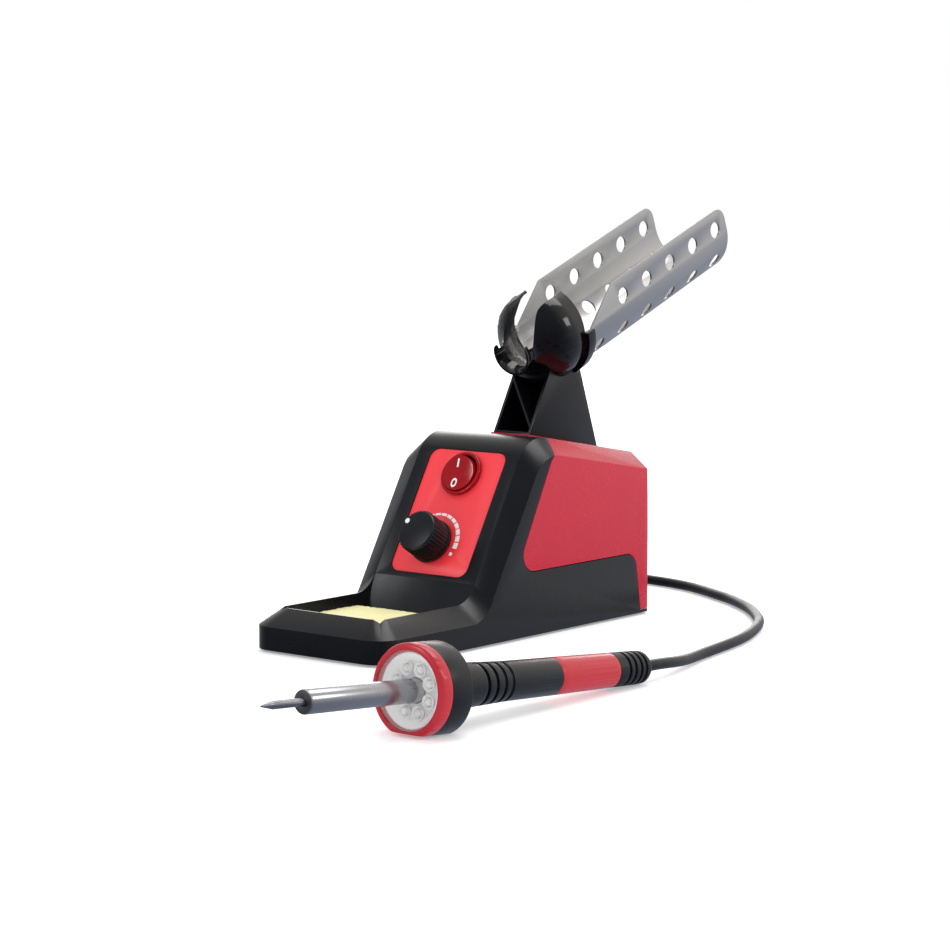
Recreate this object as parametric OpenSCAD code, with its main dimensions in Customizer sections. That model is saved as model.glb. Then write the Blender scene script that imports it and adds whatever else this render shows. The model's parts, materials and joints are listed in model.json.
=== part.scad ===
// Bench soldering station: a base with a sponge tray and controls, a perforated rest for the hot
// iron on a column, and a lighted soldering iron lying beside it on its cord.
// +X is the right side, +Y the back, +Z up. The origin is on the bench, under the base's middle.

/* [Base] */
// Width of the base
base_w = 82; // [78:1:100]
// Length of the base
base_l = 206; // [200:1:250]
// Wall thickness of the moulded shells
wall = 2.5; // [2:0.1:3]
// Gap under the shell, held open by the feet
foot_gap = 1; // [0.8:0.1:1.6]
// Radius of the base's front corners, seen from above
front_corner_r = 12; // [10:0.5:16]
// Radius of the base's back corners, seen from above
back_corner_r = 5; // [3:0.5:6]
// Height of the tray's rim
rim_h = 19.8; // [19:0.1:24]
// Width of the bevel round the tray and up both sides
bevel_w = 10; // [8:0.5:12]
// Height of the bevel
bevel_h = 8; // [6:0.5:9]
// Distance from the base's front edge to the foot of the control face
tray_l = 73; // [70:1:90]
// Angle of the control face above the bench
face_angle = 59.5; // [54:0.5:64]
// Height of the corner where the control face meets the top
brow_h = 95.5; // [94:0.5:112]
// Fall of the top towards the back
top_fall = 9.9; // [6:0.1:12]
// Lean of the back wall
back_lean = 3; // [1:0.5:5]
// Radius of the hollow bend at the foot of the control face
foot_r = 16; // [10:1:18]
// Radius of the rounded brow above the control face
brow_r = 19; // [12:1:22]
// Seam between the black housing and the red cover
seam = 0.4; // [0.2:0.1:0.6]
// Height of the cover's lower edge on the sides
skirt_h = 31.5; // [28:0.5:36]

/* [Tray and sponge] */
// Thickness of the tray's floor
tray_floor_t = 1.8; // [1.4:0.1:2.4]
// Thickness of the sponge
sponge_t = 9.5; // [7:0.5:11]
// Space round the sponge
sponge_gap = 0.5; // [0.4:0.1:2]

/* [Controls] */
// Width of the control panel
panel_w = 46.5; // [40:0.5:50]
// Length of the control panel up the face
panel_l = 65; // [62:0.5:66]
// Thickness of the control panel
panel_t = 1; // [0.8:0.1:1.2]
// Depth of the panel's surface below the face
panel_sink = 0.4; // [0.2:0.1:0.8]
// Distance of the knob's axis up the panel
knob_up = 16.2; // [14:0.2:18]
// Offset of the knob's axis to the right of the middle
knob_side = -3; // [-5:0.5:3]
// Diameter of the knob at its skirt
knob_d = 22; // [18:0.5:24]
// Height of the knob
knob_h = 14; // [11:0.5:18]
// Diameter of the control shaft
shaft_d = 6; // [5:0.5:6.5]
// Distance of the rocker's middle up the panel
rocker_up = 52.5; // [50:0.5:53]
// Diameter of the switch's mounting hole
switch_d = 20.1; // [18:0.1:21]
// Tilt of the rocker each way from level
rocker_tilt = 7; // [4:0.5:9]

/* [Column and rest] */
// Width of the column
column_w = 22.4; // [20:0.2:26]
// Wall thickness of the column
column_t = 1.4; // [1.2:0.1:2.4]
// Height of the pad that the column stands on
pad_h = 1.4; // [1:0.1:3]
// Slope of the rest above the bench
rest_angle = 21; // [16:1:26]
// Height of the rest's flange centre above the bench
rest_z = 139; // [138:0.5:144]
// Distance of the rest's flange centre behind the base's middle
rest_y = 63.8; // [60:0.2:66]
// Outside radius of the channel's round bottom
channel_r = 23.3; // [21:0.1:24]
// Height of the channel's sides above the middle of the round
channel_side = 13.2; // [10:0.2:16]
// Length of the channel from the flange
channel_l = 139.5; // [120:0.5:150]
// Thickness of the channel's sheet steel
channel_t = 1; // [0.8:0.1:1.2]
// Diameter of the holes in the channel
hole_d = 8.3; // [6:0.1:9]
// Distance between the holes
hole_pitch = 21.64; // [20:0.02:23]
// Radius of the flange
flange_r = 23.2; // [22.8:0.1:24]
// Length of the cradle's horn in front of the flange
horn_l = 24.4; // [23:0.2:28]
// Outside radius of the horn's mouth
mouth_r = 10.4; // [10:0.1:12]
// Width of the slot that the handle drops into
slot_w = 18.6; // [17.5:0.1:20]

/* [Iron] */
// Distance of the lamp's face to the right of the base's middle
iron_x = 144.4; // [140:0.2:160]
// Distance of the lamp's face in front of the base's middle
iron_y = 207.2; // [200:0.2:215]
// Turn of the iron away from the base's side
iron_yaw = 1.6; // [0:0.1:4]
// Radius of the lamp head
head_r = 19; // [18:0.1:20]
// Distance of the head's flat from the axis
flat_h = 17; // [16:0.1:18]
// Radius of the clear lens
lens_r = 16.2; // [15:0.1:16.6]
// Diameter of the heated barrel
barrel_d = 9.8; // [8:0.1:10.4]
// Length of the barrel in front of the lens
barrel_l = 58.4; // [50:0.2:70]
// Diameter of the tip
tip_d = 3.3; // [2.5:0.1:5]
// Length of the tip in front of the barrel
tip_l = 23; // [18:0.5:30]
// Radius of the grip behind the head
grip_r = 9.2; // [8.5:0.1:9.6]
// Radius of the handle at its back end
handle_r = 7.4; // [7:0.1:8]
// Distance from the lens to the grip's back end
grip_end = 88.5; // [84:0.5:92]
// Distance from the lens to the red handle's back end
handle_end = 128; // [122:0.5:130]
// Distance from the lens to the back of the handle
iron_end = 152.5; // [150:0.5:158]
// Diameter of the iron's cord
cord_d = 5; // [4.5:0.1:5.4]

/* [Hidden] */
$fn = 48;

eps = 0.01;
fit = 0.15;                        // gap between pieces that are fastened together
y_front = -base_l / 2;
y_back = base_l / 2;
face_y = y_front + tray_l;         // foot of the control face, at the rim's height
brow_y = face_y + (brow_h - rim_h) / tan(face_angle);
inner_w = base_w - 2 * bevel_w;    // width between the bevels
rim_land = 0.5;                    // flat on top of the rim
plate_z = foot_gap + 0.2;          // underside of the bottom plate
plate_t = 1.6;
plate_top = plate_z + plate_t;
board_z = plate_top + 7;           // underside of the control board
tray_under = plate_top + 0.4;      // underside of the tray
tray_floor = tray_under + tray_floor_t;
tray_w = inner_w - 2 * rim_land;
tray_front = y_front + bevel_w + rim_land;
screw_r = 1.5;
screw_gap = 0.05;                  // round the screws in their bosses
boss_r = 4;
boss_top = 25;
boss_x = base_w / 2 - wall - 3.5;
housing_bosses = [[-boss_x, -20], [boss_x, -20], [-boss_x, 60], [boss_x, 60]];
cover_bosses = [[-30, y_back - wall - 3], [30, y_back - wall - 3]];
board_posts = [[-22, 14], [22, 14], [-22, 71], [22, 71]];

seam_top = 45.6;                   // slopes of the seam above the bench
seam_front = 62.3;
seam_back = 81.1;
cover_foot = foot_gap + 1.4;       // lower edge of the cover on the back

panel_from = 12.3;                 // from the foot of the control face to the panel
panel_z = -panel_sink;             // panel's surface, from the face
knob_at = [knob_side, knob_up];
bushing_r = shaft_d / 2 + 1.5;
shaft_gap = 0.05;                  // running fit of the shaft in its bushing
knob_flutes = 36;
scale_r = knob_d / 2 + 4.4;
scale_steps = 11;

rocker_r = switch_d / 2 - 1.25;
rocker_bore = rocker_r + 0.75;
rocker_axis = -3;                  // pivot below the face
pin_r = 1.2;
pin_gap = 0.05;                    // running fit of the rocker on its pin

head_clear = 0.15;                 // column round the cradle
column_screw_at = [[0, 54], [0, 84]];
channel_w0 = 0.8;                  // middle of the channel's round above the flange's middle
flange_t = 3.2;
sleeve_r = flange_r - 0.5;
sleeve_end = 11;                   // sleeve's back edge at its top
collar_from = 7;                   // collar's ends, from the flange
collar_end = 12.6;
collar_r = channel_r + 1.9;
channel_from = collar_from + 1;    // channel's front end
saddle_t = 2.35;                   // wall of the column's head round the cradle
holes_low = 37;                    // slope of the lower holes

iron_rest = iron_end - 5.5;        // where the bush touches the bench
head_back = 17.5;                  // back edge of the lamp head's flat
iron_tilt = atan((flat_h - handle_r) / (iron_rest - head_back));
iron_z = head_back * sin(iron_tilt) + flat_h * cos(iron_tilt);
bush_r = handle_r - 0.1;

gland_x = [-14, 16];               // cord's gland, mains gland
gland_z = 11;
boot_l = 13;

cord_r = cord_d / 2;
coil_at = [-60, 166];
coil_r = 27.5;                     // middle of the coil
coil_layers = 2;

// Point at distance d out along the iron cord's gland
function gland_point(d) = [gland_x[0], y_back - gland_z * tan(back_lean) + d * cos(back_lean),
                           gland_z + d * sin(back_lean)];

// Where the iron's cord lies, from the handle to the coil
cord_route = [
    [148.6, -54.8, 6.8], [148.6, -46, 6.6], [147.8, -36, 5.9], [145.4, -24, 4.6], [141.5, -10, 3.3],
    [137.2, 6, 2.7], [133.6, 25, 2.6], [130, 44, 2.6], [126, 59, 2.6], [120.4, 74, 2.6],
    [114, 88, 2.6], [106, 102, 2.6], [95, 116, 2.6], [82, 130, 2.6], [69, 141, 2.6],
    [56, 150.5, 2.6], [43, 158, 2.6], [29, 166, 2.6], [15, 172.4, 2.6], [0, 176.6, 2.6],
    [-15, 179, 2.6], [-28, 184, 2.6], [-40, 191.4, 2.6], [-52, 195.6, 2.6]];

// Where it leaves the coil's top for the gland
tail_route = [
    [-56, 136, 7.8], [-46, 136.4, 8], [-36, 136, 8.6], [-26, 132.6, 9.6], [-18.4, 126.4, 10.8],
    gland_point(boot_l + 4.5), gland_point(boot_l + 0.1)];

// ---------- shared geometry

// Points of the arc that rounds corner k between a line at angle a1 and a line at angle a2
function rounding(k, a1, a2, r, n) =
    let(side = a2 > a1 ? 1 : -1,
        len = r * tan(abs(a2 - a1) / 2),
        c = k - len * [cos(a1), sin(a1)] + side * r * [-sin(a1), cos(a1)])
    [for (i = [0:n]) let(a = a1 + (a2 - a1) * i / n) c - side * r * [-sin(a), cos(a)]];

// Corner points of a rectangle from a to b with front radius rf and back radius rb
function plan_points(a, b, rf, rb, n = 8) = concat(
    rounding([a[0], a[1]], -90, 0, rf, n), rounding([b[0], a[1]], 0, 90, rf, n),
    rounding([b[0], b[1]], 90, 180, rb, n), rounding([a[0], b[1]], 180, 270, rb, n));

// Height of the top above the bench at distance y, on the flat between the bevels
function top_z(y) = brow_h - (y - brow_y) * tan(top_fall);

// Side view of the shell, lowered by drop and set in by inset, as [y, z] points
function side_points(drop, inset) =
    let(low = inset > 0 ? -1 : foot_gap,
        z1 = rim_h - drop - inset,
        k1 = [face_y + inset * tan(face_angle / 2), z1],
        bend = face_angle + top_fall,
        k2 = [brow_y, brow_h - drop]
             + inset / cos(bend / 2) * [cos(face_angle - 90 - bend / 2), sin(face_angle - 90 - bend / 2)],
        back = y_back - inset,
        yb = (back - k2[0] - k2[1] * tan(back_lean)) / (1 - tan(top_fall) * tan(back_lean)),
        k3 = k2 + yb * [1, -tan(top_fall)])
    concat([[y_front - 2, low], [y_front - 2, z1]],
        rounding(k1, 0, face_angle, foot_r + inset, 8),
        rounding(k2, face_angle, -top_fall, brow_r - inset, 10),
        [k3, [back - low * tan(back_lean), low]]);

// Solid lofted through side views that stand at the given x positions
module loft(xs, views) {
    n = len(views[0]);
    m = len(xs);
    points = [for (k = [0:m - 1]) for (p = views[k]) [xs[k], p[0], p[1]]];
    sides = [for (k = [0:m - 2]) for (i = [0:n - 1]) let(j = (i + 1) % n)
        each [[k * n + i, k * n + j, (k + 1) * n + j], [k * n + i, (k + 1) * n + j, (k + 1) * n + i]]];
    ends = [[for (i = [n - 1:-1:0]) i], [for (i = [0:n - 1]) (m - 1) * n + i]];
    polyhedron(points = points, faces = concat(sides, ends), convexity = 6);
}

// The whole base as one solid, or its hollow when it is set in by the wall's thickness
module shell_form(inset) {
    xo = base_w / 2 + 2;
    xi = inner_w / 2 - inset * 0.35;
    edge = side_points((xo - xi) * bevel_h / bevel_w, inset);
    middle = side_points(0, inset);
    intersection() {
        loft([-xo, -xi, xi, xo], [edge, middle, middle, edge]);
        plan_form(inset);
    }
}

// Plan view of the shell, with the bevel round the front of the tray
module plan_form(inset) {
    a = [-base_w / 2 + inset, y_front + inset];
    b = [base_w / 2 - inset, y_back - inset];
    in = bevel_w + inset * 0.4;
    hull() {
        translate([0, 0, -2])
            linear_extrude(rim_h - bevel_h - inset * 0.6 + 2.15)
                polygon(plan_points(a, b, front_corner_r - inset, back_corner_r - inset / 2));
        translate([0, 0, rim_h - inset + 0.15])
            linear_extrude(eps)
                polygon(plan_points([-base_w / 2 + in - 1, y_front + in], [base_w / 2 - in + 1, b[1] - 1],
                                    front_corner_r * 0.75, 1));
    }
    translate([0, 0, -2])
        linear_extrude(brow_h + 10)
            polygon(plan_points([a[0], face_y - foot_r - 8], b, 1, back_corner_r - inset / 2));
}

function face_line(z) = face_y + (z - rim_h) / tan(face_angle);

// Corner k between lines at angles a1 and a2, moved to their left by g
function shifted(k, a1, a2, g) =
    k + g / cos((a2 - a1) / 2) * [-sin((a1 + a2) / 2), cos((a1 + a2) / 2)];

// Side view of the red cover's region, set back by g from the seam
function cover_points(g) =
    let(q = [brow_y + 5.5, brow_h - 12.4],
        top = q + 30 * [cos(seam_top), sin(seam_top)],
        low = [q[0] - (q[1] - skirt_h) / tan(seam_front), skirt_h],
        back = [y_back - 14.2, skirt_h],
        foot = [back[0] + (skirt_h - cover_foot) / tan(seam_back), cover_foot])
    concat([shifted(top, -180 + seam_top, -180 + seam_top, g),
            shifted(q, -180 + seam_top, -180 + seam_front, g)],
        rounding(shifted(low, -180 + seam_front, 0, g), -180 + seam_front, 0, 8.6 - g, 8),
        rounding(shifted(back, 0, -seam_back, g), 0, -seam_back, 8 + g, 8),
        [shifted(foot, -seam_back, 0, g), [y_back + 20, cover_foot + g],
         [y_back + 20, top[1] + 40], [top[0], top[1] + 40]]);

// Prism with a side view given as [y, z] points, w wide across the middle
module side_prism(points, w) {
    translate([-w / 2, 0, 0]) rotate([90, 0, 90]) linear_extrude(w) polygon(points);
}

// Copies of a piece at the given plan positions
module at_each(places) {
    for (p = places) translate([p[0], p[1], 0]) children();
}

// Moves things to the control face: X across, Y up the face, Z out of it
module on_face() {
    translate([0, face_y, rim_h]) rotate([face_angle, 0, 0]) translate([0, panel_from, 0]) children();
}

// Moves things to the rest: Y along its axis, Z across it, from the flange's middle
module on_rest() {
    translate([0, rest_y, rest_z]) rotate([rest_angle, 0, 0]) children();
}

// Moves things to the iron: Y along it towards the handle, from the lamp's face
module on_iron() {
    translate([iron_x, -iron_y, iron_z]) rotate([-iron_tilt, 0, -iron_yaw]) children();
}

// Moves things to a gland hole in the back: Y outwards
module on_back(x) {
    translate([x, y_back - gland_z * tan(back_lean), gland_z]) rotate([back_lean, 0, 0]) children();
}

// Solid of revolution about the Y axis from [radius, y] points
module turned(points) {
    rotate([-90, 0, 0]) rotate_extrude() polygon(points);
}

// Round bar along Y
module rod(y0, y1, r0, r1) {
    translate([0, y0, 0]) rotate([-90, 0, 0]) cylinder(h = y1 - y0, r1 = r0, r2 = r1);
}

// ---------- base

module tray_block() {
    top = rim_h + foot_r * tan(face_angle / 2) * sin(face_angle) + 0.4;
    side_prism([[tray_front - 2, tray_under], [tray_front - 2, top], [face_line(top), top],
                [face_line(top) + 2.6 / sin(face_angle), top],
                [face_line(tray_under) + 2.6 / sin(face_angle), tray_under]], tray_w + 4);
}

module tray_cut() {
    top = rim_h + foot_r * tan(face_angle / 2) * sin(face_angle) + 0.3;
    side_prism([[tray_front, tray_floor], [tray_front, top], [face_line(top) + 0.1, top],
                [face_line(tray_floor) + 0.1, tray_floor]], tray_w);
}

module boss(h) {
    difference() {
        translate([0, 0, plate_top]) cylinder(h = h - plate_top, r = boss_r);
        translate([0, 0, plate_top - 1]) cylinder(h = h - plate_top - 3, r = screw_r + screw_gap);
    }
}

module panel_outline(gap, low, high) {
    translate([0, 0, low])
        linear_extrude(high - low)
            polygon(plan_points([-panel_w / 2 - gap, -gap], [panel_w / 2 + gap, panel_l + gap],
                                5 + gap, 5 + gap, 5));
}

module front_housing() color("#17181b") {
    difference() {
        shell_form(0);
        difference() {
            shell_form(wall);
            tray_block();
        }
        tray_cut();
        side_prism(cover_points(0), base_w + 2);
        on_face() {
            panel_outline(fit, -panel_sink - panel_t, 5);
            translate([knob_at[0], knob_at[1], -8]) cylinder(h = 10, r = bushing_r + 0.1);
            translate([0, rocker_up, -8]) cylinder(h = 10, r = switch_d / 2);
        }
    }
    at_each(housing_bosses) boss(boss_top);
}

module pedestal() {
    side_prism([[40, top_z(40) - 1], [98, top_z(98) - 1], [98, top_z(98) + pad_h / cos(top_fall)],
                [40, top_z(40) + pad_h / cos(top_fall)]], column_w + 1);
}

module rear_cover() color("#f0262f") {
    difference() {
        union() {
            difference() {
                intersection() {
                    shell_form(0);
                    side_prism(cover_points(seam), base_w + 2);
                }
                shell_form(wall);
            }
            intersection() {
                pedestal();
                translate([-base_w / 2, 40, 60]) cube([base_w, y_back - 40 - back_lean * 1.6 - 0.5, 60]);
            }
        }
        at_each(column_screw_at) translate([0, 0, 60]) cylinder(h = 60, r = screw_r + screw_gap);
        for (x = gland_x) on_back(x) rod(-20, 20, 5.1, 5.1);
    }
    at_each(cover_bosses) boss(boss_top);
}

module bottom_plate() color("#141416") {
    difference() {
        union() {
            translate([0, 0, plate_z])
                linear_extrude(plate_t)
                    polygon(plan_points([-base_w / 2 + wall + 0.3, y_front + wall + 0.3],
                                        [base_w / 2 - wall - 0.3, y_back - wall - 0.6],
                                        front_corner_r - wall, 3));
            at_each(board_posts) translate([0, 0, plate_top - 0.2]) cylinder(h = board_z - plate_top + 0.2, r = 3);
        }
        at_each(concat(housing_bosses, cover_bosses)) translate([0, 0, -1]) cylinder(h = 6, r = 1.8);
        for (x = [-24:6:24]) translate([x - 1, 20, -1]) cube([2, 45, 6]);
    }
}

module rubber_feet() color("#1c1c1c") {
    at_each([[0, 0], [-26, -84], [26, -84], [-26, 84], [26, 84]])
        cylinder(h = plate_z, r = 6);
}

module housing_screws() color("#8e9196") {
    at_each(concat(housing_bosses, cover_bosses)) {
        translate([0, 0, plate_z - 0.9]) cylinder(h = 0.9, r = 2.8);
        translate([0, 0, plate_z - 0.5]) cylinder(h = 14, r = screw_r);
    }
}

module front_panel() color("#e8404a") on_face() difference() {
    panel_outline(0, panel_z - panel_t, panel_z);
    translate([knob_at[0], knob_at[1], -8]) cylinder(h = 10, r = bushing_r + 0.1);
    translate([0, rocker_up, -8]) cylinder(h = 10, r = switch_d / 2);
}

module scale_marks() color("#f2f2f0") on_face() translate([knob_at[0], knob_at[1], panel_z]) {
    for (i = [0:scale_steps - 1]) {
        a = 150 - i * 14.6;
        t = 0.5 + i * 0.2;
        linear_extrude(0.15)
            polygon(concat([for (k = [0:4]) (scale_r - t) * [cos(a - k * 3), sin(a - k * 3)]],
                           [for (k = [4:-1:0]) scale_r * [cos(a - k * 3), sin(a - k * 3)]]));
    }
    rotate([0, 0, -20.6]) translate([scale_r - 2.2, -0.8, 0]) cube([1.6, 1.6, 0.15]);
}

module sponge() color("#fbf6c4") {
    side_prism([[tray_front + sponge_gap, tray_floor], [tray_front + sponge_gap, tray_floor + sponge_t],
                [face_line(tray_floor) - sponge_gap, tray_floor + sponge_t],
                [face_line(tray_floor) - sponge_gap, tray_floor]], tray_w - 2 * sponge_gap);
}

// ---------- switch and knob

module switch_bezel() color("#8d0c16") on_face() translate([0, rocker_up, 0]) difference() {
    translate([0, 0, panel_z]) cylinder(h = 1.9, r = switch_d / 2 + 1.2);
    translate([0, 0, -8]) cylinder(h = 20, r = rocker_bore);
}

module switch_body() color("#0d0d0f") on_face() translate([0, rocker_up, 0]) difference() {
    translate([0, 0, -16]) cylinder(h = 16 + panel_z, r = switch_d / 2 - 0.1);
    translate([0, 0, -12]) cylinder(h = 20, r = rocker_bore);
    translate([-20, 0, rocker_axis]) rotate([0, 90, 0]) cylinder(h = 40, r = pin_r + 0.02);
}

module switch_terminals() color("#c9a25a") on_face() translate([0, rocker_up, 0]) {
    for (y = [-5, 5]) translate([-3.1, y - 0.4, -25]) cube([6.2, 0.8, 9]);
}

module rocker_pin() color("#a0a3a8") on_face() translate([0, rocker_up, rocker_axis])
    rotate([0, 90, 0]) cylinder(h = switch_d - 0.8, r = pin_r, center = true);

module rocker_button() color("#8d0c16") on_face() translate([0, rocker_up, rocker_axis])
    rotate([rocker_tilt, 0, 0]) difference() {
        translate([0, 0, -2.6]) cylinder(h = 9.4, r = rocker_r);
        translate([-20, 0, 45 + 5.6]) rotate([0, 90, 0]) cylinder(h = 40, r = 45, $fn = 96);
        translate([-20, 0, 0]) rotate([0, 90, 0]) cylinder(h = 40, r = pin_r + pin_gap);
    }

module knob() color("#141417") on_face() translate([knob_at[0], knob_at[1], 0]) difference() {
    union() {
        translate([0, 0, 0.3]) cylinder(h = 1.7, r = knob_d / 2);
        translate([0, 0, 2])
            linear_extrude(knob_h - 2.8)
                polygon([for (i = [0:2 * knob_flutes - 1])
                    (knob_d / 2 - 0.4 - 0.4 * (i % 2)) * [cos(i * 180 / knob_flutes), sin(i * 180 / knob_flutes)]]);
        translate([0, 0, knob_h - 0.8]) cylinder(h = 0.8, r1 = knob_d / 2 - 0.9, r2 = knob_d / 2 - 1.4);
    }
    translate([0, 0, -1]) cylinder(h = 5, r = knob_d / 2 - 3);
    translate([0, 0, -1]) cylinder(h = knob_h - 1, r = shaft_d / 2 + 0.02);
}

module knob_dot() color("#f2f2f0") on_face() translate([knob_at[0], knob_at[1], knob_h])
    translate([-7, 4.2, 0]) cylinder(h = 0.2, r = 1.3);

module control_shaft() color("#b9bcc1") on_face() translate([knob_at[0], knob_at[1], -14])
    cylinder(h = 14 + knob_h - 2.4, r = shaft_d / 2);

module control_body() color("#6f7378") on_face() translate([knob_at[0], knob_at[1], 0]) difference() {
    union() {
        translate([0, 0, -15.4]) cylinder(h = 12.7, r = 8.5);
        translate([0, 0, -2.8]) cylinder(h = 6, r = bushing_r);
    }
    translate([0, 0, -14.1]) cylinder(h = 30, r = shaft_d / 2 + shaft_gap);
}

module control_nut() color("#b9bcc1") on_face() translate([knob_at[0], knob_at[1], panel_z]) difference() {
    cylinder(h = 2, r = bushing_r + 2.2, $fn = 6);
    translate([0, 0, -1]) cylinder(h = 4, r = bushing_r + 0.05);
}

// ---------- electronics

module control_board() color("#2f6b3c") difference() {
    translate([-27.5, 10, board_z]) cube([55, 65, 1.6]);
    at_each(board_posts) translate([0, 0, board_z - 1]) cylinder(h = 4, r = 1.3);
}

module on_board(x, y) {
    translate([x, y, board_z + 1.6]) children();
}

module triac() color("#1b1b1d") on_board(-14, 52) {
    cube([10, 4.5, 15]);
}

module heat_sink() color("#b4b7bb") on_board(-21, 57) {
    cube([24, 1.6, 22]);
    for (i = [0:5]) translate([i * 4.48, 1.6, 0]) cube([1.6, 8, 22]);
}

module capacitor() color("#2a3f6e") on_board(12, 50) cylinder(h = 16, r = 6.5);

module fuse() color("#cfd3d4") on_board(6, 24) {
    translate([0, 0, 3.2]) rotate([0, 90, 0]) cylinder(h = 19, r = 2.6);
    for (x = [-0.8, 16.6]) translate([x, -3.2, 0]) cube([3, 6.4, 3.2]);
}

module terminal_block() color("#3d8f57") on_board(-22, 20) {
    difference() {
        cube([10, 20, 12]);
        for (y = [5, 15]) {
            translate([5, y, 6]) cylinder(h = 10, r = 2);
            translate([-1, y - 2, 2]) cube([5, 4, 4]);
        }
    }
}

// ---------- column and rest

// Outline of the cradle's outside as [radius, y] points, grown by g
function cradle_outside(g) = concat(
    [[0, -horn_l - g], [mouth_r + g, -horn_l - g], [mouth_r + g, 2.5 - horn_l + g],
     [mouth_r - 0.8 + g, min(3.5 - horn_l + g, -18.4)], [mouth_r - 0.8 + g, -17.6 - g / 4],
     [10.6 + g, -16 - g / 2], [13 + g, -14 - g / 2], [15.8 + g, -12 - g / 2], [18.2 + g, -10 - g / 2],
     [20.1 + g, -8 - g / 2], [21.5 + g, -6 - g / 2], [22.4 + g, -4], [flange_r - 0.3 + g, -2],
     [flange_r + g, 0]],
    g > 1 ? [] : [[flange_r + g, flange_t + g], [sleeve_r + g, flange_t + g]],
    [[(g > 1 ? flange_r : sleeve_r) + g, collar_from - g], [collar_r + g, collar_from - g],
     [collar_r + g, collar_end + g], [0, collar_end + g]]);

// Slot that the handle drops into, seen along the rest, with rounded corners at its top
slot_edge = concat([[slot_w / 2, 0]],
    [for (a = [180:-18:90]) [slot_w / 2 + 4 + 4 * cos(a), 16.5 + 4 * sin(a)]], [[slot_w / 2 + 4, 60]]);
slot_points = concat(slot_edge, [for (i = [len(slot_edge) - 1:-1:0]) [-slot_edge[i][0], slot_edge[i][1]]]);

module cradle_hole() {
    translate([0, 5.2, -40]) cylinder(h = 30, r = screw_r + screw_gap);
}

module cradle() color("#0c0c0e") on_rest() difference() {
    turned(cradle_outside(0));
    turned([[0, -horn_l - 1], [mouth_r - 1.2, -horn_l - 1], [mouth_r - 1.2, -horn_l], [mouth_r - 2, 3 - horn_l],
            [8.3, -18], [8.8, -14], [10, -11], [12, -8], [14, -5], [16.2, -2], [18.4, 1], [20.2, 4],
            [21, 6.4], [21, collar_end + 1], [0, collar_end + 1]]);
    intersection() {
        translate([0, 0, channel_w0]) rod(channel_from - 0.1, collar_end + 5, channel_r + 0.1, channel_r + 0.1);
        translate([-40, 0, -60.6]) cube([80, 60, 60]);
    }
    rotate([90, 0, 0]) linear_extrude(2 * horn_l + 60, center = true) polygon(slot_points);
    difference() {
        translate([-40, collar_from, -0.6]) cube([80, 30, 60]);
        intersection() {
            rod(0, 40, sleeve_r, sleeve_r);
            side_prism([[0, -2], [collar_from + 0.5, -2], [sleeve_end, sleeve_r + 1], [0, sleeve_r + 1]], 80);
        }
    }
    cradle_hole();
}

module column_side(y0, y1, y2, y3, floor_t, top) {
    pad = pad_h / cos(top_fall) + floor_t;
    side_prism([[y0, top_z(y0) + pad], [y1, top_z(y1) + pad], [y2, top[0]], [y3, top[1]]],
               column_w - (floor_t > 0 ? 2 * column_t : 0));
}

module column() color("#101114") difference() {
    column_side(41.4, 96.8, 82.5, 58.8, 0, [122.1, 123.8]);
    difference() {
        column_side(20, 94, 79.5, 20, column_t, [122.1, 123.8]);
        on_rest() turned(cradle_outside(head_clear + saddle_t));
        translate([0, 70, 107]) rotate([0, 48, 0]) cube([60, 60, 1.1], center = true);
    }
    on_rest() {
        turned(cradle_outside(head_clear));
        translate([0, 0, channel_w0]) rod(collar_from, 60, channel_r + head_clear, channel_r + head_clear);
        cradle_hole();
    }
    for (p = column_screw_at) translate([p[0], p[1], top_z(p[1]) - 20])
        cylinder(h = 20.8 + pad_h, r = screw_r + screw_gap);
}

module column_screws() color("#8e9196") {
    for (p = column_screw_at) translate([p[0], p[1], top_z(p[1]) - wall - 1.8]) {
        cylinder(h = 1.3, r = 2.6);
        cylinder(h = 1.8 + wall + pad_h + 0.75, r = screw_r);
    }
}

module cradle_screw() color("#8e9196") on_rest()
    translate([0, 5.2, -collar_r - head_clear - saddle_t]) {
        translate([0, 0, -1.7]) cylinder(h = 1.6, r = 2.6);
        translate([0, 0, -0.2]) cylinder(h = collar_r - 18.2, r = screw_r);
    }

module channel() color("#b9bec4") on_rest() difference() {
    intersection() {
        union() {
            translate([0, 0, channel_w0]) difference() {
                rod(channel_from, channel_l, channel_r, channel_r);
                rod(channel_from - 1, channel_l + 1, channel_r - channel_t, channel_r - channel_t);
                translate([-50, -1, 0]) cube([100, 200, 50]);
            }
            for (x = [-channel_r, channel_r - channel_t])
                translate([x, channel_from, channel_w0])
                    cube([channel_t, channel_l - channel_from, channel_side]);
        }
        side_prism(concat([[channel_from, -40], [channel_from, -0.5], [12, -0.5]],
            [[36, channel_w0 + channel_side]],
            rounding([channel_l, channel_w0 + channel_side], 0, -90, 7, 6),
            [[channel_l, -40]]), 100);
    }
    for (i = [0:4]) translate([-50, 42.6 + hole_pitch * i, 4.4]) rotate([0, 90, 0])
        cylinder(h = 100, r = hole_d / 2);
    for (i = [0:5]) for (a = [holes_low, 180 - holes_low])
        translate([0, 21 + hole_pitch * i, channel_w0]) rotate([0, 90 + a, 0])
            translate([0, 0, 15]) cylinder(h = 15, r = hole_d / 2);
}

module channel_rivets() color("#9a9da2") on_rest() {
    for (x = [-1, 1]) translate([x * (channel_r - channel_t - 0.8), 10, -2]) rotate([0, x * 90, 0])
        cylinder(h = 2.5, r = 1.4);
}

// ---------- glands and cord

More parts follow.
